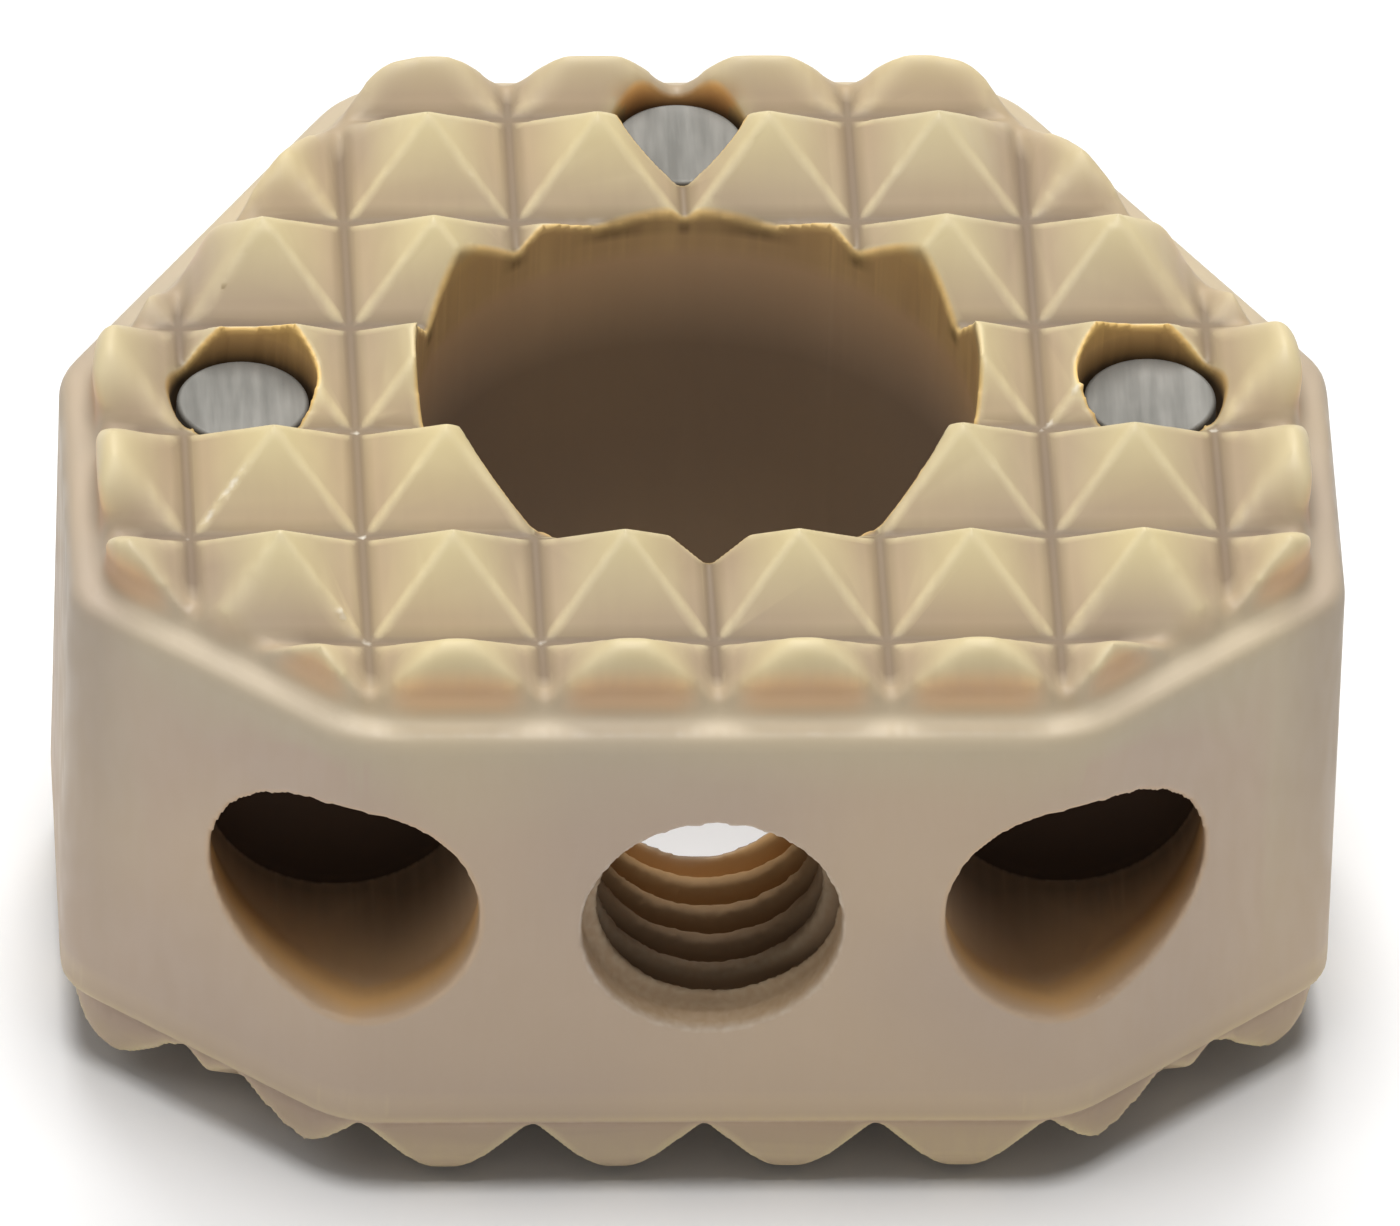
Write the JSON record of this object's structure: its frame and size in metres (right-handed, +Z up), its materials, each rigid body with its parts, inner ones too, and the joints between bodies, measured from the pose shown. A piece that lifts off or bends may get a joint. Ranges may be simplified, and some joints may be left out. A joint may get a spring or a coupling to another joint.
{
  "type": "spinal interbody cage",
  "caption": "Block-shaped spinal interbody cage with pyramid-toothed beds above and below, a round graft window, a threaded inserter hole between blind sockets, and metal marker pins.",
  "frame": {"origin": "centre of the footprint, on the plane of the lower tooth tips", "axes": "+Z up through the graft window, -Y out of the front wall that has the threaded inserter hole, +X to the right seen from above with the front wall nearest"},
  "size_m": [0.014, 0.012, 0.0074],
  "materials": {
    "peek": "machined natural polymer, satin to matt, slightly translucent at its edges",
    "marker_metal": "ground pin ends, dull grey"
  },
  "bodies": {
    "root": {"cage_body": "peek", "marker_pin_left": "marker_metal", "marker_pin_right": "marker_metal", "marker_pin_rear": "marker_metal"}
  },
  "joints": []
}
